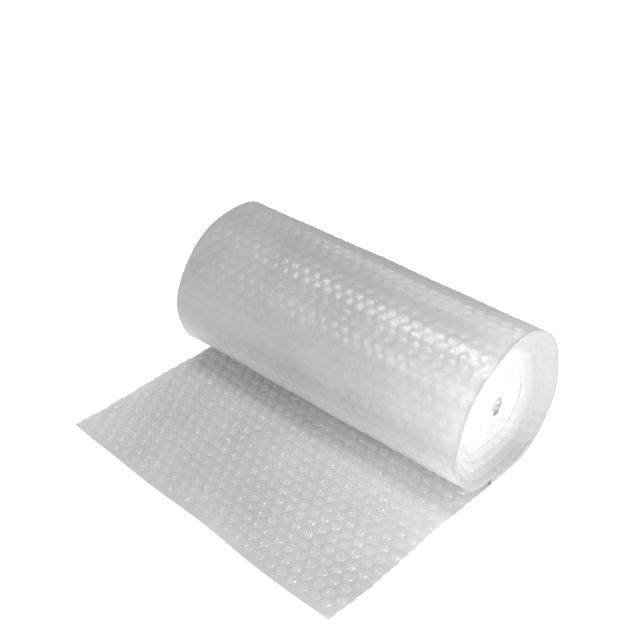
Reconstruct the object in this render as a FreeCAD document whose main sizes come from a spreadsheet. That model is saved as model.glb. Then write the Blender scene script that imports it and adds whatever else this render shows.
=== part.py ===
import FreeCAD, Part
import math
import os
import Sketcher

# A roll of bubble wrap that lies on its side with its free end drawn out flat.
# X runs along the roll, the free sheet runs toward -Y and Z is up.
# The origin is on the floor, under the middle of the roll.

SIZES = [
    ("web_width", 300.0, "width of the film web, along the roll"),
    ("film_thickness", 1.0, "carrier film, drawn thicker than real film"),
    ("bubble_rise", 3.0, "height of a bubble above its film"),
    ("bubble_base", 10.0, "diameter of a bubble where it meets the film"),
    ("bubble_crown", 6.4, "diameter of the flat top of a bubble"),
    ("bubble_pitch", 11.4, "distance between neighbouring bubbles"),
    ("turn_gap", 1.2, "slack between turns where the weight presses them"),
    ("eye_radius", 4.0, "smallest radius that the winding starts from"),
    ("lower_radius", 58.0, "height of the roll's widest line above the floor"),
    ("top_rise", 17.6, "extra height of the upper half over the lower half"),
    ("flat_front", 22.5, "sagged flat spot in front of the middle"),
    ("flat_back", 5.5, "sagged flat spot behind the middle"),
    ("slip_step", 4.0, "how far each loose turn has slipped along the roll"),
    ("slip_turns", 4.0, "number of outer turns that have slipped"),
    ("free_length", 204.0, "free sheet, from under the middle to its cut edge"),
    ("cut_skew", 7.7, "how far the cut edge runs out of square, each side"),
    ("bare_strip", 45.0, "free sheet where the roll presses the bubbles away"),
    ("edge_margin", 6.0, "least distance from a bubble's centre to an edge"),
]

doc = FreeCAD.newDocument("bubble_wrap_roll")

# Driving dimensions
sheet = doc.addObject("Spreadsheet::Sheet", "Sizes")
for row, (name, value, note) in enumerate(SIZES, start=1):
    sheet.set("A%d" % row, name)
    sheet.set("B%d" % row, str(value))
    sheet.set("C%d" % row, note)
    sheet.setAlias("B%d" % row, name)
doc.recompute()

web_width = sheet.web_width
web_thickness = sheet.film_thickness + sheet.bubble_rise
turn_pitch = web_thickness + sheet.turn_gap
turn_count = math.floor((sheet.lower_radius - web_thickness - sheet.eye_radius) / turn_pitch)
row_skew = sheet.cut_skew / (web_width / 2)


def left_after(turns_in):
    """Share of the outermost outline that is left this many turns in."""
    return 1 - turns_in * turn_pitch / sheet.lower_radius


def bottom_point(turns_in, flat, inset):
    """Lowest point of a turn at the signed end `flat` of its flat spot."""
    share = left_after(turns_in)
    return FreeCAD.Vector(0, flat * share, sheet.lower_radius * (1 - share) + inset)


def back_point(turns_in, inset):
    reach = (sheet.lower_radius + sheet.flat_back) * left_after(turns_in)
    return FreeCAD.Vector(0, reach - inset, sheet.lower_radius)


def front_point(turns_in, inset):
    reach = (sheet.lower_radius + sheet.flat_front) * left_after(turns_in)
    return FreeCAD.Vector(0, inset - reach, sheet.lower_radius)


def top_point(turns_in, inset):
    reach = (sheet.lower_radius + sheet.top_rise) * left_after(turns_in)
    return FreeCAD.Vector(0, 0, sheet.lower_radius + reach - inset)


def on_circle(centre, radius, degrees, side):
    """Point on a circle, by its angle from the vertical, towards a quarter's side."""
    angle = math.radians(degrees)
    return centre + FreeCAD.Vector(
        0, side.y * radius * math.sin(angle), side.z * radius * math.cos(angle))


def quarter(level, upright):
    """Quarter oval of two tangent arcs, from a level tangent to an upright one."""
    reach = abs(upright.y - level.y)
    rise = abs(level.z - upright.z)
    side = FreeCAD.Vector(
        0, math.copysign(1, upright.y - level.y), math.copysign(1, level.z - upright.z))
    share = math.sin(math.radians(45))
    offset = (reach - rise) / (2 * share - 1)
    level_radius = rise + offset * share
    upright_radius = reach - offset * share
    level_centre = level - FreeCAD.Vector(0, 0, side.z * level_radius)
    upright_centre = upright - FreeCAD.Vector(0, side.y * upright_radius, 0)
    joint = on_circle(level_centre, level_radius, 45, side)
    level_middle = on_circle(level_centre, level_radius, 22.5, side)
    upright_middle = on_circle(upright_centre, upright_radius, 67.5, side)
    return [
        Part.Arc(level, level_middle, joint).toShape(),
        Part.Arc(joint, upright_middle, upright).toShape(),
    ]


def turn_side(turn, inset):
    """Edges of one turn, from the flat spot round the back, top and front."""
    start = bottom_point(turn, -sheet.flat_front, inset)
    heel = bottom_point(turn, sheet.flat_back, inset)
    back = back_point(turn + 0.25, inset)
    top = top_point(turn + 0.5, inset)
    front = front_point(turn + 0.75, inset)
    end = bottom_point(turn + 1, -sheet.flat_front, inset)
    edges = [Part.makeLine(start, heel)]
    for level, upright in ((heel, back), (top, back), (top, front), (end, front)):
        edges += quarter(level, upright)
    return start, edges, end


def turn_solid(turn):
    """One turn of the web, slipped along the roll by its place in the winding."""
    outer_start, outer_edges, outer_end = turn_side(turn, 0)
    inner_start, inner_edges, inner_end = turn_side(turn, web_thickness)
    caps = [Part.makeLine(outer_start, inner_start), Part.makeLine(outer_end, inner_end)]
    edges = Part.__sortEdges__(outer_edges + inner_edges + caps)
    slip = sheet.slip_step * min(turn, sheet.slip_turns)
    solid = Part.Face(Part.Wire(edges)).extrude(FreeCAD.Vector(web_width, 0, 0))
    solid.translate(FreeCAD.Vector(-web_width / 2 - slip, 0, 0))
    return solid


def ring(diameter, height):
    """Corners of a level six-sided ring, on a circle of this diameter."""
    corners = []
    for corner in range(6):
        angle = math.radians(60 * corner)
        corners.append(FreeCAD.Vector(
            diameter / 2 * math.cos(angle), diameter / 2 * math.sin(angle), height))
    return corners


def flat_face(points):
    return Part.Face(Part.makePolygon(points + points[:1]))


def bubble_solid():
    """One bubble: a tapered six-sided cap with a flat crown."""
    foot = ring(sheet.bubble_base, sheet.film_thickness)
    crown = ring(sheet.bubble_crown, web_thickness)
    faces = [flat_face(foot), flat_face(crown)]
    for corner in range(6):
        after = (corner + 1) % 6
        faces.append(flat_face([foot[corner], foot[after], crown[after], crown[corner]]))
    return Part.Solid(Part.makeShell(faces))


def bubble_solids():
    """Staggered rows of bubbles that stand on the free sheet."""
    bubble = bubble_solid()
    row_pitch = sheet.bubble_pitch * math.sin(math.radians(60))
    rows = math.floor((sheet.free_length - sheet.edge_margin - sheet.bare_strip) / row_pitch) + 1
    full_row = math.floor((web_width - 2 * sheet.edge_margin) / sheet.bubble_pitch) + 1
    solids = []
    for row in range(rows):
        in_row = full_row - row % 2
        for place in range(in_row):
            x = (place - (in_row - 1) / 2) * sheet.bubble_pitch
            y = -sheet.bare_strip - row * row_pitch - row_skew * x
            solids.append(bubble.translated(FreeCAD.Vector(x, y, 0)))
    return solids


# Wound web: one spiral strip, laid up turn by turn
winding = doc.addObject("Part::Feature", "Winding")
turns = [turn_solid(turn) for turn in range(turn_count)]
winding.Shape = turns[0].multiFuse(turns[1:]).removeSplitter()

# Carrier film of the free sheet, cut off out of square
film = doc.addObject("PartDesign::Body", "FreeFilm")
outline = film.newObject("Sketcher::SketchObject", "FilmOutline")
for plane in film.Origin.OriginFeatures:
    if plane.Role == "XY_Plane":
        outline.AttachmentSupport = (plane, [""])
outline.MapMode = "FlatFace"
half = web_width / 2
corners = [
    FreeCAD.Vector(-half, -sheet.flat_front, 0),
    FreeCAD.Vector(half, -sheet.flat_front, 0),
    FreeCAD.Vector(half, -sheet.free_length - sheet.cut_skew, 0),
    FreeCAD.Vector(-half, -sheet.free_length + sheet.cut_skew, 0),
]
for start, end in zip(corners, corners[1:] + corners[:1]):
    outline.addGeometry(Part.LineSegment(start, end))
for line in range(4):
    outline.addConstraint(Sketcher.Constraint("Coincident", line, 2, (line + 1) % 4, 1))
outline.addConstraint(Sketcher.Constraint("Horizontal", 0))
outline.addConstraint(Sketcher.Constraint("Vertical", 1))
outline.addConstraint(Sketcher.Constraint("Vertical", 3))
limits = [
    ("DistanceX", (0, 1, -1, 1), "Sizes.web_width / 2"),
    ("DistanceX", (0, 1, 0, 2), "Sizes.web_width"),
    ("DistanceY", (0, 1, -1, 1), "Sizes.flat_front"),
    ("DistanceY", (1, 2, -1, 1), "Sizes.free_length + Sizes.cut_skew"),
    ("DistanceY", (3, 1, -1, 1), "Sizes.free_length - Sizes.cut_skew"),
]
for kind, ends, size in limits:
    index = outline.addConstraint(Sketcher.Constraint(kind, *ends, web_width))
    outline.setExpression("Constraints[%d]" % index, size)
pad = film.newObject("PartDesign::Pad", "FilmPad")
pad.Profile = outline
pad.setExpression("Length", "Sizes.film_thickness")

# Bubbles of the free sheet
bubbles = doc.addObject("Part::Feature", "Bubbles")
bubbles.Shape = Part.makeCompound(bubble_solids())

# The whole roll is one piece of film
roll = doc.addObject("Part::MultiFuse", "Roll")
roll.Label = "bubble_wrap"
roll.Shapes = [winding, film, bubbles]
roll.Refine = False
doc.recompute()

for item in doc.Objects:
    if "Invalid" in item.State or "Error" in item.State:
        raise RuntimeError("%s did not build" % item.Name)
if roll.Shape.isNull() or not roll.Shape.isValid():
    raise RuntimeError("%s has no valid shape" % roll.Label)
if len(roll.Shape.Solids) != 1:
    raise RuntimeError("%s is not one solid" % roll.Label)

os.makedirs("parts", exist_ok=True)
roll.Shape.exportStep("parts/%s.step" % roll.Label)
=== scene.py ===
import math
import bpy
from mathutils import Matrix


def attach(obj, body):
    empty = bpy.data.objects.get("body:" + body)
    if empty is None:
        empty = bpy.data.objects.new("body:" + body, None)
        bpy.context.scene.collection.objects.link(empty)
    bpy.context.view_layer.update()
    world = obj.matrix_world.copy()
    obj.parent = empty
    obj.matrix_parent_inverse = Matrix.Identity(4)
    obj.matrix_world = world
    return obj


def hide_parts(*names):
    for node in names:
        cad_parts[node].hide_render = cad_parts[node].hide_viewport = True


bl_info = {
    "name": "Bubble wrap roll",
    "version": (1, 0, 0),
    "blender": (4, 5, 0),
    "location": "View3D > Sidebar > Bubble wrap",
    "description": "Dresses the packed roll with clear film, air bubbles and soft studio light",
    "category": "Object",
}

import bpy
import numpy as np
from mathutils import Matrix, Vector

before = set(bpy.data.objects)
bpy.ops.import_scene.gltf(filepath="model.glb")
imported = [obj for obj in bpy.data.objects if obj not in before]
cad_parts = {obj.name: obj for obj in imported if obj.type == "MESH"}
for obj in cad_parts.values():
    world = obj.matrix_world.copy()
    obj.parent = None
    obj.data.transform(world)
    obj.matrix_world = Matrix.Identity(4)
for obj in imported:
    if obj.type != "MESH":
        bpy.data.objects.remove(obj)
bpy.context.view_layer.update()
CAD_NODE = "bubble_wrap"
SEED = 41


# Sizes and colours


def length(name, description, default):
    return bpy.props.FloatProperty(
        name=name, description=description, default=default, subtype="DISTANCE", unit="LENGTH")


def tint(name, description, default):
    return bpy.props.FloatVectorProperty(
        name=name, description=description, default=default, size=3, subtype="COLOR",
        min=0.0, max=1.0)


class WrapSizes(bpy.types.PropertyGroup):
    """Sizes of the web and its winding, as in the CAD part."""

    web_width: length("Web width", "Width of the web, along the roll", 0.300)
    film_thickness: length("Film", "Film drawn for the web in the CAD part", 0.001)
    bubble_rise: length("Bubble rise", "Height of a bubble above its film", 0.003)
    bubble_base: length("Bubble base", "Diameter of a bubble at its film", 0.010)
    bubble_pitch: length("Bubble pitch", "Distance between neighbouring bubbles", 0.0114)
    turn_gap: length("Turn gap", "Slack between turns under the weight", 0.0012)
    eye_radius: length("Eye", "Smallest radius of the winding", 0.004)
    lower_radius: length("Lower radius", "Height of the roll's widest line", 0.058)
    top_rise: length("Top rise", "Extra height of the upper half", 0.0176)
    flat_front: length("Flat, front", "Flat spot in front of the middle", 0.0225)
    flat_back: length("Flat, back", "Flat spot behind the middle", 0.0055)
    slip_step: length("Slip", "Slip of each loose turn along the roll", 0.004)
    slip_turns: bpy.props.FloatProperty(
        name="Slipped turns", description="Number of turns that have slipped", default=4.0)
    free_length: length("Free length", "Free sheet, from under the middle", 0.204)
    cut_skew: length("Cut skew", "Cut edge out of square, each side", 0.0077)
    bare_strip: length("Bare strip", "Free sheet with its bubbles pressed away", 0.045)
    edge_margin: length("Edge margin", "Least distance of a bubble from an edge", 0.006)


class WrapLooks(bpy.types.PropertyGroup):
    """Colours of the film and the floor, and the pale colour of painted light."""

    clear_film: tint("Clear film", "Colour of the outer film", (0.40, 0.402, 0.405))
    bubble_film: tint("Bubble film", "Colour of the bubbles", (0.46, 0.462, 0.465))
    free_film: tint("Free film", "Colour of the free sheet's film", (0.37, 0.372, 0.375))
    # Lighter than the roll's bubbles: partly their own colour, partly painted light that makes up
    # for the shade the bubbles cast on the film under them
    free_bubbles: tint("Free bubbles", "Colour of the free sheet's bubbles", (0.68, 0.682, 0.685))
    loose_film: tint("Loose turns", "Colour of the loose outer turns", (0.30, 0.302, 0.305))
    # Painted light: the pale colour that the film turns to where light is painted on it
    painted_light_film: tint("Painted light film", "Colour of film that light comes through", (0.86, 0.862, 0.865))
    floor: tint("Floor", "Colour of the floor", (0.90, 0.90, 0.90))


def sizes():
    return bpy.context.scene.wrap_sizes


def looks():
    return bpy.context.scene.wrap_looks


# The web's path, as lengths along it from the tip of its cut edge


# Turns in at which the winding starts to slip along the roll
SLIP_START = 0.8


class WebPath:
    """Outer side of the web in the YZ plane, with its inward side and turn count."""

    # Spacing of the path's points, and how many of them smooth its direction
    STEP = 0.0005
    BLUR = 9

    def __init__(self, size):
        self.size = size
        self.web = size.film_thickness + size.bubble_rise
        self.pitch = self.web + size.turn_gap
        room = size.lower_radius - self.web - size.eye_radius
        self.turns = math.floor(room / self.pitch + 1e-6)
        self.tip = size.free_length + size.cut_skew
        points = [(-self.tip, 0.0, 0.0)]
        for turn in range(self.turns):
            points += self.turn_points(turn)
        points = np.array(points)
        steps = np.linalg.norm(np.diff(points[:, :2], axis=0), axis=1)
        along = np.concatenate([[0.0], np.cumsum(steps)])
        keep = np.concatenate([[True], steps > 1e-7])
        self.total = along[-1]
        count = int(self.total / self.STEP)
        self.along = np.linspace(0.0, self.total, count)
        self.y = np.interp(self.along, along[keep], points[keep, 0])
        self.z = np.interp(self.along, along[keep], points[keep, 1])
        self.turn = np.interp(self.along, along[keep], points[keep, 2])
        tangent = np.stack([np.gradient(self.y), np.gradient(self.z)], axis=1)
        blur = np.ones(self.BLUR) / self.BLUR
        for axis in range(2):
            padded = np.pad(tangent[:, axis], self.BLUR // 2, mode="edge")
            tangent[:, axis] = np.convolve(padded, blur, mode="valid")
        tangent /= np.linalg.norm(tangent, axis=1)[:, None]
        self.in_y, self.in_z = -tangent[:, 1], tangent[:, 0]

    def left(self, turns_in):
        return 1 - turns_in * self.pitch / self.size.lower_radius

    def turn_points(self, turn):
        """(y, z, turns in) round one turn, on its outer side."""
        size = self.size
        low = size.lower_radius

        def bottom(turns_in, flat):
            share = self.left(turns_in)
            return flat * share, low * (1 - share)

        start = bottom(turn, -size.flat_front)
        heel = bottom(turn, size.flat_back)
        back = ((low + size.flat_back) * self.left(turn + 0.25), low)
        top = (0.0, low + (low + size.top_rise) * self.left(turn + 0.5))
        front = (-(low + size.flat_front) * self.left(turn + 0.75), low)
        end = bottom(turn + 1, -size.flat_front)
        points = [(start[0], start[1], turn)]
        legs = ((heel, back, False), (top, back, True), (top, front, False), (end, front, True))
        for leg, (level, upright, backwards) in enumerate(legs):
            oval = oval_quarter(level, upright)
            if backwards:
                oval = oval[::-1]
            for step, (y, z) in enumerate(oval):
                points.append((y, z, turn + 0.25 * (leg + step / (len(oval) - 1))))
        return points

    def find(self, turns_in):
        """Length along the web at which it is this many turns in."""
        return float(self.along[np.searchsorted(self.turn, turns_in)])

    def at(self, along):
        return tuple(np.interp(along, self.along, values) for values in (
            self.y, self.z, self.in_y, self.in_z, self.turn))

    def slip(self, turns_in):
        """Place of a turn along the roll: each loose turn lies further in."""
        loose = np.clip(turns_in - SLIP_START, 0.0, self.size.slip_turns)
        return -self.size.slip_step * loose

    def place(self, x, along, rise):
        """Points of the web: across it, along it and above its outer film."""
        y, z, in_y, in_z, turn = self.at(along)
        lift = rise + ripple(self, x, along, turn)
        across = x + self.slip(turn) - nibble(self, x, along)
        return np.stack([across, y + in_y * lift, z + in_z * lift], axis=-1)


def oval_quarter(level, upright, steps=24):
    """Quarter oval of two tangent arcs, from a level tangent to an upright one."""
    reach, rise = abs(upright[0] - level[0]), abs(level[1] - upright[1])
    side_y = math.copysign(1, upright[0] - level[0])
    side_z = math.copysign(1, level[1] - upright[1])
    share = math.sin(math.radians(45))
    offset = (reach - rise) / (2 * share - 1)
    level_radius, upright_radius = rise + offset * share, reach - offset * share
    level_centre = (level[0], level[1] - side_z * level_radius)
    upright_centre = (upright[0] - side_y * upright_radius, upright[1])
    points = []
    for step in range(steps + 1):
        angle = math.radians(90 * step / steps)
        centre, radius = level_centre, level_radius
        if step > steps / 2:
            centre, radius = upright_centre, upright_radius
        points.append((
            centre[0] + side_y * radius * math.sin(angle),
            centre[1] + side_z * radius * math.cos(angle)))
    return points


def fade(value, start, end):
    """0 before start, 1 after end and smooth between them."""
    share = np.clip((value - start) / (end - start), 0.0, 1.0)
    return share * share * (3 - 2 * share)


# Lifts of the soft film off its path. Its waves run in radians to the metre.
FLOOR_LIFT = 0.0007
SWELL = 0.0006
SLANT_SWELL = 0.0005
SIDE_LIFT = 0.0004
SIDE_REACH = 0.012
TIP_LIFT = 0.0008
TIP_REACH = 0.030
CORNER_LIFT = 0.0022
CORNER_REACH = 0.035
SLACK = 0.0003
FINE_SLACK = 0.0002
RIM_LIFT = 0.0006
RIM_REACH = 0.020
CLEAR_OF_FLOOR = 0.0006

# Stretches over which the sheet's waves end, in metres ahead of the middle, and
# over which the winding's slack and its touch with the floor begin, in turns
WAVES_END = (0.090, 0.035)
SLACK_START = (0.06, 0.20)
FLOOR_TOUCH = (0.0, 0.05)


def ripple(path, x, along, turn):
    """How far the soft web lies off its plain path."""
    half = path.size.web_width / 2
    loose = 1 - fade(along, path.tip - WAVES_END[0], path.tip - WAVES_END[1])
    from_side = half - np.abs(x)
    from_corner = np.hypot(from_side, along - path.size.cut_skew)
    lift = FLOOR_LIFT + SWELL * np.sin(x * 46 + 1.1) * np.sin(along * 61 + 0.4)
    lift = lift + SLANT_SWELL * np.sin(x * 23 - along * 37 + 2.0)
    side = (1 - fade(from_side, 0.0, SIDE_REACH)) * SIDE_LIFT * (1 + np.sin(along * 240 + x))
    tip = (1 - fade(along, 0.0, TIP_REACH)) * TIP_LIFT * (1 + np.sin(x * 55 + 0.7))
    corner = (1 - fade(from_corner, 0.0, CORNER_REACH)) * CORNER_LIFT
    on_floor = loose * (np.abs(lift) + side + tip + corner)
    wound = fade(turn, *SLACK_START)
    angle = math.tau * turn
    slack = SLACK * np.sin(x * 31 + angle * 2) + FINE_SLACK * np.sin(x * 74 - angle * 3)
    rim = (1 - fade(from_side, 0.0, RIM_REACH)) * RIM_LIFT * np.sin(angle * 7 + np.sign(x) * 2)
    clear_of_floor = (1 - fade(turn, *FLOOR_TOUCH)) * CLEAR_OF_FLOOR
    return clear_of_floor + on_floor + wound * (slack + rim)


def row_pitch(size):
    """Distance between two staggered rows of bubbles."""
    return size.bubble_pitch * math.sin(math.radians(60))


# Scalloped sides of the free sheet, which end ahead of the middle
SCALLOP_DEPTH = 0.0010
SCALLOP_REACH = 0.004
SCALLOP_END = (0.050, 0.030)


def nibble(path, x, along):
    """How far the free sheet's sides draw in between the bubbles beside them."""
    size = path.size
    at_side = fade(np.abs(x), size.web_width / 2 - SCALLOP_REACH, size.web_width / 2)
    free = 1 - fade(along, path.tip - SCALLOP_END[0], path.tip - SCALLOP_END[1])
    wave = 0.5 + 0.5 * np.cos(math.tau * along / row_pitch(size))
    return np.sign(x) * at_side * free * SCALLOP_DEPTH * wave


# Bubbles, in staggered rows across the web

# Stretch past the middle over which the rows turn square to the web
STRAIGHTEN = (-0.02, 0.12)

# A bubble's flat side: how round it is and the least share that it stands out
PUFF_ROUND = 0.8
LEAST_PUFF = 0.55


class Lattice:
    """Rows of bubbles, counted from the row nearest to the cut edge."""

    def __init__(self, path):
        size = path.size
        self.path = path
        self.radius = size.bubble_base / 2
        self.pitch = size.bubble_pitch
        self.row_pitch = row_pitch(size)
        reach = size.free_length - size.edge_margin - size.bare_strip
        self.free_rows = math.floor(reach / self.row_pitch + 1e-6) + 1
        last = size.bare_strip + (self.free_rows - 1) * self.row_pitch
        self.first = path.tip - last
        self.full = math.floor((size.web_width - 2 * size.edge_margin) / self.pitch + 1e-6) + 1
        self.parity = (self.free_rows - 1) % 2

    def skew(self, along):
        """Rows lie along the cut edge on the free sheet and square on the roll."""
        straighten = fade(along, self.path.tip + STRAIGHTEN[0], self.path.tip + STRAIGHTEN[1])
        return -self.path.size.cut_skew / (self.path.size.web_width / 2) * (1 - straighten)

    def row(self, number):
        """(x, along) of the bubbles in one row."""
        count = self.full - (number + self.parity) % 2
        x = (np.arange(count) - (count - 1) / 2) * self.pitch
        middle = self.first + number * self.row_pitch
        return x, middle + self.skew(middle) * x

    def rows_between(self, start, end):
        low = math.ceil((start - self.first) / self.row_pitch)
        high = math.floor((end - self.first) / self.row_pitch)
        return range(max(low, 0), high + 1)

    def puff(self, x, along):
        """0 to 1 over each bubble: how far its flat side stands out of the film."""
        level = np.zeros(np.broadcast(x, along).shape)
        nearest = np.round((along - self.skew(along) * x - self.first) / self.row_pitch)
        for step in (-1, 0, 1):
            number = nearest + step
            odd = np.mod(number + self.parity, 2)
            shift = (self.full - odd - 1) / 2
            place = np.clip(np.round(x / self.pitch + shift), 0, self.full - odd - 1)
            middle = self.first + number * self.row_pitch
            off_x = x - (place - shift) * self.pitch
            off_along = along - middle - self.skew(middle) * x
            near = 1 - (off_x ** 2 + off_along ** 2) / self.radius ** 2
            own = LEAST_PUFF + (1 - LEAST_PUFF) * scatter(number, place)
            level = np.maximum(level, np.clip(near, 0, 1) ** PUFF_ROUND * own)
        return level


def scatter(a, b):
    """Repeatable 0 to 1 value for a pair of whole numbers."""
    value = np.sin(a * 12.9898 + b * 78.233 + SEED) * 43758.5453
    return value - np.floor(value)


# Rings of a bubble, as (share of radius, share of height)
BUBBLE_RINGS = (
    (1.07, 0.0), (1.0, 0.07), (0.93, 0.28), (0.81, 0.58), (0.63, 0.82), (0.35, 0.96))

# Corners of a bubble's rings, on the free sheet and inside the outer turn
FREE_AROUND = 16
OUTER_AROUND = 12

# Spread of the bubbles: a few have lost air, and their crowns lean a little
LOW_SHARE = 0.04
LOW_HEIGHT = 0.45
LEAST_HEIGHT = 0.86
LEAN = 0.0008


def bubble_template(around):
    """Points and faces of one bubble: rings closed by a crown point."""
    rings = BUBBLE_RINGS
    points = []
    for radius, height in rings:
        for place in range(around):
            angle = math.tau * place / around
            points.append((radius * math.cos(angle), radius * math.sin(angle), height))
    points.append((0.0, 0.0, 1.0))
    quads = []
    for ring in range(len(rings) - 1):
        for place in range(around):
            after = (place + 1) % around
            low, high = ring * around, (ring + 1) * around
            quads.append((low + place, low + after, high + after, high + place))
    last = (len(rings) - 1) * around
    crown = len(rings) * around
    tris = [(last + place, last + (place + 1) % around, crown) for place in range(around)]
    return np.array(points), np.array(quads), np.array(tris)


# Least room for a bubble under the roll, and the clearance it keeps from the roll
LEAST_ROOM = 0.0006
ROOM_CLEARANCE = 0.0003


def room_under_roll(path, along):
    """Height that the roll leaves over the free sheet, close to where they meet."""
    ahead = np.maximum(path.tip - path.size.flat_front - along, 0.0)
    return np.maximum(ahead ** 2 / (2 * path.size.lower_radius) - ROOM_CLEARANCE, LEAST_ROOM)


def bubbles_mesh(name, path, lattice, spots, rise, around, room=None):
    """One mesh of bubbles that stand on the web's inner side at (x, along, number, place)."""
    template, quads, tris = bubble_template(around)
    spots = np.array(spots)
    vary = scatter(spots[:, 2] + 7, spots[:, 3])
    tall = np.where(vary < LOW_SHARE, LOW_HEIGHT, LEAST_HEIGHT + (1 - LEAST_HEIGHT) * vary)
    lean = (scatter(spots[:, 2], spots[:, 3] + 3) - 0.5) * LEAN
    x = spots[:, 0, None] + template[None, :, 0] * lattice.radius
    along = spots[:, 1, None] + template[None, :, 1] * lattice.radius
    x = x + lean[:, None] * template[None, :, 2]
    height = template[None, :, 2] * tall[:, None] * rise
    if room is not None:
        height = np.minimum(height, room(path, along))
    points = path.place(x, along, height).reshape(-1, 3)
    offsets = (np.arange(len(spots)) * len(template))[:, None, None]
    all_quads = (quads[None] + offsets).reshape(-1, 4)
    all_tris = (tris[None] + offsets).reshape(-1, 3)
    return new_piece(name, points, all_quads, all_tris)


# Meshes


def new_piece(name, points, quads, tris=None):
    """A smooth-shaded object from arrays of points and faces."""
    tris = np.zeros((0, 3), int) if tris is None else tris
    mesh = bpy.data.meshes.new(name)
    mesh.vertices.add(len(points))
    mesh.vertices.foreach_set("co", np.ascontiguousarray(points, dtype=np.float32).ravel())
    corners = np.concatenate([quads.ravel(), tris.ravel()]).astype(np.int32)
    starts = np.concatenate([
        np.arange(len(quads)) * 4, len(quads) * 4 + np.arange(len(tris)) * 3]).astype(np.int32)
    mesh.loops.add(len(corners))
    mesh.loops.foreach_set("vertex_index", corners)
    mesh.polygons.add(len(starts))
    mesh.polygons.foreach_set("loop_start", starts)
    mesh.update(calc_edges=True)
    mesh.validate()
    mesh.shade_smooth()
    piece = bpy.data.objects.new(name, mesh)
    bpy.context.scene.collection.objects.link(piece)
    return piece


def grid_quads(rows, columns):
    index = np.arange(rows * columns).reshape(rows, columns)
    return np.stack([
        index[:-1, :-1], index[:-1, 1:], index[1:, 1:], index[1:, :-1]], axis=-1).reshape(-1, 4)


def web_strip(name, path, start, end, rows, columns, rise):
    """A stretch of the web as one grid; start and rise may vary over it."""
    half = path.size.web_width / 2
    x = np.linspace(-half, half, columns)[None, :]
    share = np.linspace(0, 1, rows)[:, None]
    first = start(x) if callable(start) else start
    x, along = np.broadcast_arrays(x, first + (end - first) * share)
    height = rise(x, along) if callable(rise) else rise
    points = path.place(x, along, height).reshape(-1, 3)
    return new_piece(name, points, grid_quads(rows, columns))


# How far the web stays off the next turn, and how far its last turn crumples
# into the eye, from and to these turns before the winding's end
TURN_CLEARANCE = 0.0002
CRUMPLE = 0.0030
CRUMPLE_TURNS = (1.1, 0.9)


def filling(path, turn):
    """Thickness of the web where it fills the way to the next turn, and most of the eye."""
    size = path.size
    low = size.lower_radius
    side, down = np.sin(math.tau * turn), np.cos(math.tau * turn)
    flat = np.where(side > 0, size.flat_back, size.flat_front)
    reach = low + np.where(
        down > 0, flat * np.abs(side), flat * side ** 2 + size.top_rise * down ** 2)
    last, full = CRUMPLE_TURNS
    crumpled = fade(turn, path.turns - last, path.turns - full) * CRUMPLE
    return reach * path.pitch / low - TURN_CLEARANCE + crumpled


# Rounded end of the wound web, as (share of its bulge, share of its thickness)
END_ROUND = (
    (0.30, -0.04), (0.34, -0.02), (0.75, 0.20), (1.0, 0.5), (0.75, 0.80), (0.34, 1.06),
    (0.30, 1.08))


# Strip of the wound turns: step along the web, points across it, distance of the
# outermost of them from its ends, and bulge of the ends, plain and over a bubble
SLAB_STEP = 0.0016
SLAB_POINTS = 7
SLAB_SIDE = 0.004
BULGE = 0.0003
CELL_BULGE = 0.0009
LEAST_CELL = 0.4

# Depth of the strip under the outer film, and the turns where it sinks and rises
SUNK = 0.0010
SINKS = (0.04, 0.10)
RISES = (1.0, 1.06)

# Lengths before and after the strip's start between which it thickens
THICKENS = (0.003, 0.004)

# Share of the next turn's slip that the strip's inner side takes up
LEAN_SHARE = 0.92

# Shares of the pale colour: painted light on the tight turns, an even share on the loose
# turns and a small even share on the strip's ends. The painted light on the tight turns
# starts deeper at the back of the roll than in front.
TIGHT_PAINTED_LIGHT = 0.31
TIGHT_START = 1.2
TIGHT_TILT = 1.3
LOOSE_PALE = 0.20
END_PALE = 0.07

# Where painted light fills the eye's shade: turns before the winding's end, depth in
# the web and stretch along the roll
EYE_TURNS = (1.2, 1.0)
EYE_DEPTH = 0.9
EYE_STRETCH = (-0.05, 0.12)


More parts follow.
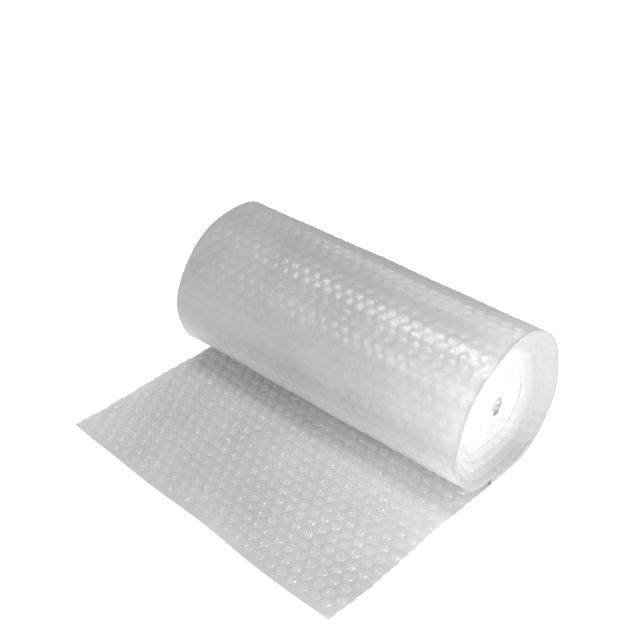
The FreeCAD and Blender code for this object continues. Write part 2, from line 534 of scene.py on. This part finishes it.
def web_slab(name, path, lattice, start, end):
    """Wound web with its squeezed bubbles, as one closed strip with soft, rounded ends."""
    half = path.size.web_width / 2
    along = np.linspace(start, end, int((end - start) / SLAB_STEP))[:, None]
    turn = path.at(along)[4]
    sunk = SUNK * fade(turn, *SINKS) * (1 - fade(turn, *RISES))
    thick = filling(path, turn) * fade(along, start - THICKENS[0], start + THICKENS[1])
    cell = np.abs(np.sin(math.pi * along / lattice.row_pitch))
    own = LEAST_CELL + (1 - LEAST_CELL) * scatter(np.floor(along / lattice.row_pitch), 3)
    bulge = BULGE + CELL_BULGE * cell * own
    inner = half - SLAB_SIDE
    outside = np.concatenate([[-half], np.linspace(-inner, inner, SLAB_POINTS), [half]])
    count = len(outside)
    shares = np.concatenate([
        np.zeros(count), [high for _, high in END_ROUND], np.ones(count),
        [high for _, high in reversed(END_ROUND)]])
    out = np.array([reach for reach, _ in END_ROUND])
    middle = np.concatenate([
        outside, np.full(len(out), half), outside[::-1], np.full(len(out), -half)])
    stand = np.concatenate([np.zeros(count), out, np.zeros(count), -out])
    lean = LEAN_SHARE * (path.slip(turn + shares[None, :]) - path.slip(turn))
    x = middle[None, :] + stand[None, :] * bulge + lean
    outer = np.where(np.abs(middle) < half, sunk, 0.0) + TURN_CLEARANCE
    rise = outer + shares[None, :] * (thick - outer)
    points = path.place(x, along + 0 * x, rise)
    quads = grid_quads(*x.shape)
    index = np.arange(x.size).reshape(x.shape)
    closing = np.stack([index[:-1, -1], index[:-1, 0], index[1:, 0], index[1:, -1]], axis=-1)
    piece = new_piece(name, points.reshape(-1, 3), np.concatenate([quads, closing]))
    on_side = (np.abs(middle) < half)[None, :]
    # Painted light: the tight turns, the near end, its rim and top, and the low front turn pale
    deep = turn + shares[None, :] - TIGHT_TILT * np.sin(math.tau * turn)
    tight = fade(deep, TIGHT_START, path.size.slip_turns + SLIP_START) * TIGHT_PAINTED_LIGHT
    painted_light = np.maximum(tight, on_side * (LOOSE_PALE + painted_light_share(x, turn)))
    # Painted light fills the shade of the eye in the last turn
    last_turn = fade(turn, path.turns - EYE_TURNS[0], path.turns - EYE_TURNS[1])
    painted_in_eye = last_turn * (shares[None, :] > EYE_DEPTH) * fade(x, *EYE_STRETCH)
    mark_painted_light(piece, np.maximum(np.maximum(painted_light, END_PALE * ~on_side), painted_in_eye))
    return piece


# Shares of the pale colour, painted light, toward the near end, at its rim and low in
# front, and what the first two gain on top of the roll. They set in over these stretches,
# in metres along the roll and, for the front, in turns.
END_PAINTED_LIGHT = 0.14
RIM_PAINTED_LIGHT = 0.10
FRONT_PAINTED_LIGHT = 0.58
TOP_PAINTED_GAIN = 0.16
PAINTED_AT_END = (-0.020, 0.135)
PAINTED_AT_RIM = (0.105, 0.150)
PAINTED_AT_FRONT = (0.73, 0.86)


def painted_light_share(x, turn):
    """How much light is painted on the loose turns and the outer film, at the near end and low in
    front.
    """
    on_top = np.clip(-np.cos(math.tau * turn), 0.0, 1.0)
    at_end = fade(x, *PAINTED_AT_END) * (END_PAINTED_LIGHT + TOP_PAINTED_GAIN * on_top)
    at_rim = fade(x, *PAINTED_AT_RIM) * (RIM_PAINTED_LIGHT + TOP_PAINTED_GAIN * on_top)
    return at_end + at_rim + fade(turn, *PAINTED_AT_FRONT) * FRONT_PAINTED_LIGHT


def mark_painted_light(piece, share):
    """Keeps a share of the pale colour, painted light, at each point of a piece."""
    painted_light = piece.data.attributes.new("painted_light", "FLOAT", "POINT")
    painted_light.data.foreach_set("value", np.asarray(share, dtype=np.float32).ravel())


def dress(piece, material):
    """Puts a piece on the roll's body, in place of the CAD node."""
    piece.data.materials.append(material)
    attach(piece, "root")
    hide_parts(CAD_NODE)


# Materials


def group_socket(group, name, kind, direction, default=None):
    socket = group.interface.new_socket(name=name, in_out=direction, socket_type=kind)
    if default is not None:
        socket.default_value = default
    return socket


def film_grain():
    """Shader group: cloudy patches, fine wrinkles and scuffs of handled film."""
    name = "Film grain"
    if name in bpy.data.node_groups:
        return bpy.data.node_groups[name]
    group = bpy.data.node_groups.new(name, "ShaderNodeTree")
    group_socket(group, "Cloud Scale", "NodeSocketFloat", "INPUT", 18.0)
    group_socket(group, "Wrinkle Scale", "NodeSocketFloat", "INPUT", 160.0)
    group_socket(group, "Cloud", "NodeSocketFloat", "OUTPUT")
    group_socket(group, "Wrinkle", "NodeSocketFloat", "OUTPUT")
    nodes, links = group.nodes, group.links
    inputs = nodes.new("NodeGroupInput")
    outputs = nodes.new("NodeGroupOutput")
    place = nodes.new("ShaderNodeTexCoord")
    cloud = nodes.new("ShaderNodeTexNoise")
    cloud.inputs["Detail"].default_value = 3.0
    wrinkle = nodes.new("ShaderNodeTexNoise")
    wrinkle.inputs["Detail"].default_value = 2.0
    wrinkle.inputs["Distortion"].default_value = 0.8
    links.new(place.outputs["Object"], cloud.inputs["Vector"])
    links.new(place.outputs["Object"], wrinkle.inputs["Vector"])
    links.new(inputs.outputs["Cloud Scale"], cloud.inputs["Scale"])
    links.new(inputs.outputs["Wrinkle Scale"], wrinkle.inputs["Scale"])
    links.new(cloud.outputs["Fac"], outputs.inputs["Cloud"])
    links.new(wrinkle.outputs["Fac"], outputs.inputs["Wrinkle"])
    return group


# Film's look: how far its clouds change the colour and the roughness, what
# grazing light adds to the roughness, and how deep the wrinkles are
CLOUD_DEPTH = 0.06
GLOSS_BELOW, GLOSS_ABOVE = 0.05, 0.09
GRAZING = 0.30
GRAZING_HAZE = 0.6
WRINKLE_DEPTH = 0.0006


def film_material(name, colour, alpha, roughness, bump, shine=0.35, ior=1.5):
    """Polyethylene film: milky, glossy and see-through by its alpha."""
    material = bpy.data.materials.new(name)
    material.use_nodes = True
    nodes, links = material.node_tree.nodes, material.node_tree.links
    shader = nodes["Principled BSDF"]
    shader.inputs["IOR"].default_value = ior
    shader.inputs["Specular IOR Level"].default_value = shine
    grain = nodes.new("ShaderNodeGroup")
    grain.node_tree = film_grain()
    shade = nodes.new("ShaderNodeMix")
    shade.data_type = "RGBA"
    shade.inputs["A"].default_value = (*[max(c - CLOUD_DEPTH, 0.0) for c in colour], 1.0)
    shade.inputs["B"].default_value = (*[min(c + CLOUD_DEPTH, 1.0) for c in colour], 1.0)
    links.new(grain.outputs["Cloud"], shade.inputs["Factor"])
    links.new(shade.outputs["Result"], shader.inputs["Base Color"])
    gloss = nodes.new("ShaderNodeMapRange")
    gloss.inputs["To Min"].default_value = roughness - GLOSS_BELOW
    gloss.inputs["To Max"].default_value = roughness + GLOSS_ABOVE
    links.new(grain.outputs["Cloud"], gloss.inputs["Value"])
    grazing = nodes.new("ShaderNodeLayerWeight")
    grazing.inputs["Blend"].default_value = GRAZING
    haze = nodes.new("ShaderNodeMath")
    haze.operation = "MULTIPLY_ADD"
    haze.inputs[1].default_value = GRAZING_HAZE
    haze.use_clamp = True
    links.new(grazing.outputs["Facing"], haze.inputs[0])
    links.new(gloss.outputs["Result"], haze.inputs[2])
    links.new(haze.outputs["Value"], shader.inputs["Roughness"])
    relief = nodes.new("ShaderNodeBump")
    relief.inputs["Strength"].default_value = bump
    relief.inputs["Distance"].default_value = WRINKLE_DEPTH
    links.new(grain.outputs["Wrinkle"], relief.inputs["Height"])
    links.new(relief.outputs["Normal"], shader.inputs["Normal"])
    shader.inputs["Alpha"].default_value = alpha
    return material


def painted_light_group():
    """Shader group: film turned pale by the share of painted light that each point keeps."""
    name = "Painted light on film"
    if name in bpy.data.node_groups:
        return bpy.data.node_groups[name]
    group = bpy.data.node_groups.new(name, "ShaderNodeTree")
    group_socket(group, "Film", "NodeSocketColor", "INPUT", (0.4, 0.4, 0.4, 1.0))
    group_socket(group, "Painted Light Film", "NodeSocketColor", "INPUT", (0.8, 0.8, 0.8, 1.0))
    group_socket(group, "Colour", "NodeSocketColor", "OUTPUT")
    nodes, links = group.nodes, group.links
    inputs = nodes.new("NodeGroupInput")
    outputs = nodes.new("NodeGroupOutput")
    painted_light = nodes.new("ShaderNodeAttribute")
    painted_light.attribute_name = "painted_light"
    blend = nodes.new("ShaderNodeMix")
    blend.data_type = "RGBA"
    links.new(painted_light.outputs["Fac"], blend.inputs["Factor"])
    links.new(inputs.outputs["Film"], blend.inputs["A"])
    links.new(inputs.outputs["Painted Light Film"], blend.inputs["B"])
    links.new(blend.outputs["Result"], outputs.inputs["Colour"])
    return group


def add_painted_light(material, painted_light_colour):
    """Lets a film's colour turn to the pale one where light is painted on it."""
    nodes, links = material.node_tree.nodes, material.node_tree.links
    base = nodes["Principled BSDF"].inputs["Base Color"]
    cloudy = base.links[0].from_socket
    through = nodes.new("ShaderNodeGroup")
    through.node_tree = painted_light_group()
    through.inputs["Painted Light Film"].default_value = (*painted_light_colour, 1.0)
    links.new(cloudy, through.inputs["Film"])
    links.new(through.outputs["Colour"], base)


# Stage: half the floor's side, its roughness and glow, the world's strength
FLOOR_REACH = 6.0
FLOOR_ROUGHNESS = 0.9
FLOOR_GLOW = 0.68
WORLD_STRENGTH = 0.42


def floor_material(colour):
    material = bpy.data.materials.new("Studio floor")
    material.use_nodes = True
    shader = material.node_tree.nodes["Principled BSDF"]
    shader.inputs["Base Color"].default_value = (*colour, 1.0)
    shader.inputs["Roughness"].default_value = FLOOR_ROUGHNESS
    shader.inputs["Emission Color"].default_value = (1.0, 1.0, 1.0, 1.0)
    shader.inputs["Emission Strength"].default_value = FLOOR_GLOW
    return material


# Operators


def spots_between(lattice, start, end):
    """(x, along, row, place) of every bubble between two lengths along the web."""
    spots = []
    for number in lattice.rows_between(start, end):
        across, along = lattice.row(number)
        for place, (x, length_along) in enumerate(zip(across, along)):
            spots.append((x, length_along, number, place))
    return spots


# Grids of the two films, as points along the web and across it
FREE_GRID = (110, 151)
OUTER_GRID = (320, 241)

# How far the outer film stands out over a bubble
CELL_RISE = 0.0005

# Height of the free bubbles, as a share of the part's
FREE_RISE = 0.9

# Share of the pale colour, painted light on the free sheet near the roll's near end: the
# stretch along the roll over which it sets in, and the distance ahead of the middle over
# which it ends
SHEET_PAINTED_LIGHT = 0.34
SHEET_NEAR_END = (-0.08, 0.11)
SHEET_NEAR_ROLL = (0.045, 0.170)

# Turns in at which the outer film ends, hidden, and at which its bubbles end
OUTER_FILM_END = 1.12
OUTER_BUBBLES_END = 1.04


class MakeFreeSheet(bpy.types.Operator):
    """The drawn-out end of the web with its bubbles facing up"""

    bl_idname = "wrap.free_sheet"
    bl_label = "Free sheet"

    def execute(self, context):
        path = WebPath(sizes())
        lattice = Lattice(path)
        size = path.size
        slope = -size.cut_skew / (size.web_width / 2)
        under = path.tip - size.flat_front * 0.5
        film = web_strip(
            "free_film", path, lambda x: size.cut_skew + slope * x, under, *FREE_GRID, 0.0)
        rows, columns = FREE_GRID
        across = np.linspace(-0.5, 0.5, columns)[None, :] * size.web_width
        begin = size.cut_skew + slope * across
        ahead = path.tip - begin - (under - begin) * np.linspace(0, 1, rows)[:, None]
        # Painted light lifts the roll's shade on the free sheet toward the near end
        near_roll = 1 - fade(ahead, *SHEET_NEAR_ROLL)
        mark_painted_light(film, SHEET_PAINTED_LIGHT * fade(across, *SHEET_NEAR_END) * near_roll)
        look = film_material(
            "Clear film, free", looks().free_film, alpha=0.92, roughness=0.26, bump=0.25)
        add_painted_light(look, looks().painted_light_film)
        dress(film, look)
        spots = spots_between(lattice, 0.0, path.tip - size.flat_front)
        bubbles = bubbles_mesh(
            "free_bubbles", path, lattice, spots, size.bubble_rise * FREE_RISE, FREE_AROUND,
            room_under_roll)
        look = film_material(
            "Bubble film, free", looks().free_bubbles, alpha=0.20, roughness=0.07, bump=0.10,
            shine=1.0, ior=1.9)
        dress(bubbles, look)
        return {"FINISHED"}


class MakeOuterTurn(bpy.types.Operator):
    """The last turn: clear film outside, its bubbles on the inside"""

    bl_idname = "wrap.outer_turn"
    bl_label = "Outer turn"

    def execute(self, context):
        path = WebPath(sizes())
        lattice = Lattice(path)
        size = path.size
        start, end = path.tip - size.flat_front, path.find(OUTER_FILM_END)
        film = web_strip(
            "outer_film", path, start, end, *OUTER_GRID,
            lambda x, along: -CELL_RISE * lattice.puff(x, along))
        rows, columns = OUTER_GRID
        across = np.linspace(-0.5, 0.5, columns)[None, :] * size.web_width
        turn = path.at(np.linspace(start, end, rows)[:, None])[4]
        # Painted light on the outer film toward the near end, its rim and top, and low in front
        mark_painted_light(film, painted_light_share(across, turn))
        look = film_material(
            "Clear film, roll", looks().clear_film, alpha=0.60, roughness=0.18, bump=0.60,
            shine=0.45)
        add_painted_light(look, looks().painted_light_film)
        dress(film, look)
        spots = spots_between(lattice, start, path.find(OUTER_BUBBLES_END))
        bubbles = bubbles_mesh(
            "outer_bubbles", path, lattice, spots, size.bubble_rise, OUTER_AROUND)
        look = film_material(
            "Bubble film, roll", looks().bubble_film, alpha=0.5, roughness=0.16, bump=0.10)
        dress(bubbles, look)
        return {"FINISHED"}


class MakeInnerTurns(bpy.types.Operator):
    """The turns underneath, as one strip with soft ends"""

    bl_idname = "wrap.inner_turns"
    bl_label = "Inner turns"

    def execute(self, context):
        path = WebPath(sizes())
        lattice = Lattice(path)
        start = path.tip - path.size.flat_front
        turns = web_slab("wound_turns", path, lattice, start, path.total)
        look = film_material(
            "Wound film", looks().loose_film, alpha=1.0, roughness=0.35, bump=0.30)
        add_painted_light(look, looks().painted_light_film)
        dress(turns, look)
        return {"FINISHED"}


# Square lights, as (name, place, what it points at, side, power)
LIGHTS = (
    ("end_light", (0.50, -0.20, 0.12), (0.12, -0.08, 0.02), 0.2, 1.5),
    ("side_light", (0.80, -0.50, 0.42), (0.10, -0.08, 0.0), 0.4, 1.8),
    ("rim_light", (0.52, 0.10, 0.28), (0.15, 0.0, 0.05), 0.25, 0.30),
    ("front_light", (0.15, -1.45, 0.55), (0.05, 0.0, 0.04), 1.0, 6.0),
    ("top_light", (-0.50, -0.15, 1.35), (0.0, 0.0, 0.10), 0.32, 8.5),
    ("cell_light", (-0.42, -0.74, 0.80), (0.05, -0.05, 0.10), 0.2, 2.0),
    ("back_light", (-0.60, 0.95, 0.80), (0.0, 0.0, 0.10), 0.32, 5.0),
)


class MakeStage(bpy.types.Operator):
    """Pale floor, soft studio light and the camera"""

    bl_idname = "wrap.stage"
    bl_label = "Stage"

    def execute(self, context):
        add_floor()
        add_world()
        for light in LIGHTS:
            add_light(*light)
        add_camera()
        return {"FINISHED"}


def add_floor():
    corners = [(-1, -1, 0), (1, -1, 0), (1, 1, 0), (-1, 1, 0)]
    points = np.array(corners) * FLOOR_REACH
    floor = new_piece("studio_floor", points, np.array([(0, 1, 2, 3)]))
    floor.data.materials.append(floor_material(looks().floor))


def add_world():
    world = bpy.data.worlds.new("Studio")
    world.use_nodes = True
    background = world.node_tree.nodes["Background"]
    background.inputs["Color"].default_value = (1.0, 1.0, 1.0, 1.0)
    background.inputs["Strength"].default_value = WORLD_STRENGTH
    bpy.context.scene.world = world
    bpy.context.scene.view_settings.view_transform = "Standard"


def add_light(name, place, target, span, power):
    light = bpy.data.lights.new(name, "AREA")
    light.shape = "SQUARE"
    light.size = span
    light.energy = power
    lamp = bpy.data.objects.new(name, light)
    lamp.location = place
    aim = Vector(target) - Vector(place)
    lamp.rotation_euler = aim.to_track_quat("-Z", "Y").to_euler()
    bpy.context.scene.collection.objects.link(lamp)


# The photograph's view, for a frame 640 pixels wide
FRAME_PIXELS = 640
FOCAL_PIXELS = 1144.0
SENSOR_MM = 36.0
AZIMUTH = math.radians(42.29)
ELEVATION = math.radians(34.14)
BANK = math.radians(-0.14)
TARGET = Vector((-0.1046, 0.0593, 0.0))
DISTANCE = 1.0883


def add_camera():
    back = Vector((
        math.sin(AZIMUTH) * math.cos(ELEVATION),
        -math.cos(AZIMUTH) * math.cos(ELEVATION),
        math.sin(ELEVATION)))
    right = Vector((math.cos(AZIMUTH), math.sin(AZIMUTH), 0.0))
    up = back.cross(right)
    axis_x = math.cos(BANK) * right + math.sin(BANK) * up
    axis_y = math.cos(BANK) * up - math.sin(BANK) * right
    lens = bpy.data.cameras.new("camera")
    lens.sensor_width = SENSOR_MM
    lens.lens = SENSOR_MM * FOCAL_PIXELS / FRAME_PIXELS
    camera = bpy.data.objects.new("camera", lens)
    turn = Matrix((axis_x, axis_y, back)).transposed().to_4x4()
    camera.matrix_world = Matrix.Translation(TARGET + back * DISTANCE) @ turn
    bpy.context.scene.collection.objects.link(camera)
    bpy.context.scene.camera = camera


class WrapPanel(bpy.types.Panel):
    """Steps that dress the roll"""

    bl_idname = "VIEW3D_PT_wrap"
    bl_label = "Bubble wrap"
    bl_space_type = "VIEW_3D"
    bl_region_type = "UI"
    bl_category = "Bubble wrap"

    def draw(self, context):
        for operator in STEPS:
            self.layout.operator(operator.bl_idname)


STEPS = (MakeFreeSheet, MakeOuterTurn, MakeInnerTurns, MakeStage)
CLASSES = (WrapSizes, WrapLooks, *STEPS, WrapPanel)


def register():
    for item in CLASSES:
        bpy.utils.register_class(item)
    bpy.types.Scene.wrap_sizes = bpy.props.PointerProperty(type=WrapSizes)
    bpy.types.Scene.wrap_looks = bpy.props.PointerProperty(type=WrapLooks)


def unregister():
    del bpy.types.Scene.wrap_looks
    del bpy.types.Scene.wrap_sizes
    for item in reversed(CLASSES):
        bpy.utils.unregister_class(item)


def main():
    register()
    bpy.ops.wrap.free_sheet()
    bpy.ops.wrap.outer_turn()
    bpy.ops.wrap.inner_turns()
    bpy.ops.wrap.stage()


if __name__ == "__main__":
    main()
